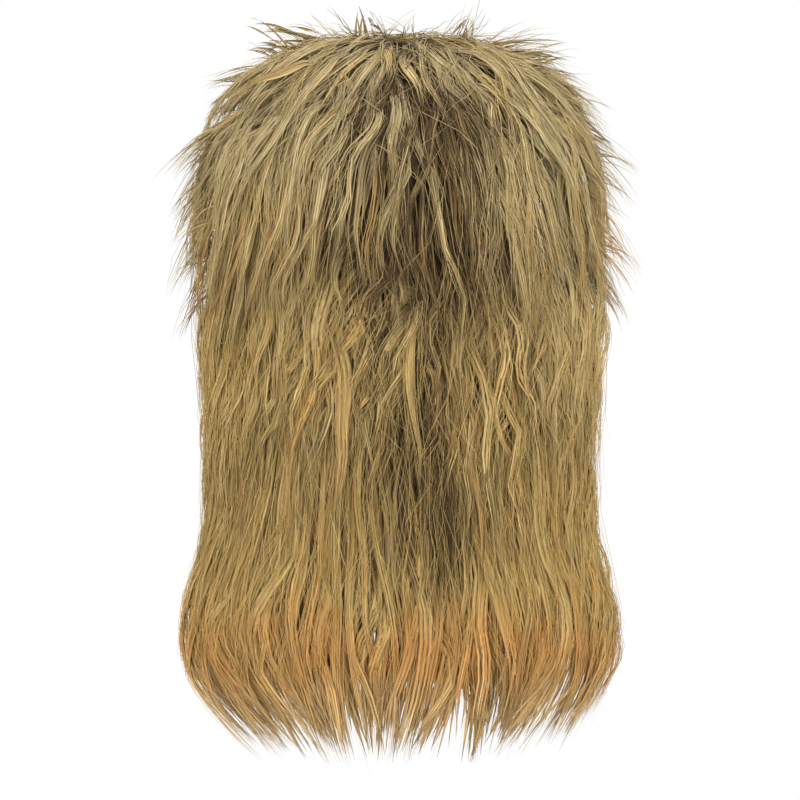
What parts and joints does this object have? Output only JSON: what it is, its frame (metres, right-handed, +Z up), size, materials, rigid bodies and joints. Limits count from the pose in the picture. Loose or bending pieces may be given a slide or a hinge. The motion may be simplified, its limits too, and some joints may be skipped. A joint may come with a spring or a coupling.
{
  "type": "mullet wig",
  "caption": "Shaggy layered wig on a stretch cap, short and tousled over the crown and sides and long at the back, with pointed locks and darker roots.",
  "frame": {"origin": "top of the cap's hollow, where it rests on the crown of the head", "axes": "+Z up, -Y towards the wearer's front, +X towards the wearer's left"},
  "size_m": [0.3221, 0.2642, 0.4793],
  "materials": {
    "cap_net": "dark brown stretch net, matt",
    "edge_tape": "woven elastic tape, matt",
    "long_hair": "blond fibre with warm ends, soft sheen",
    "back_hair": "blond fibre with ash streaks, soft sheen",
    "side_hair": "pale straw fibre, soft sheen",
    "crown_hair": "blond fibre over brown roots, soft sheen"
  },
  "bodies": {
    "root": {"cap": "cap_net", "edge_binding": "edge_tape", "long_back_locks": "long_hair", "middle_back_locks": "back_hair", "upper_back_locks": "back_hair", "left_side_locks": "side_hair", "right_side_locks": "side_hair", "fringe": "side_hair", "crown_locks": "crown_hair"}
  },
  "joints": []
}
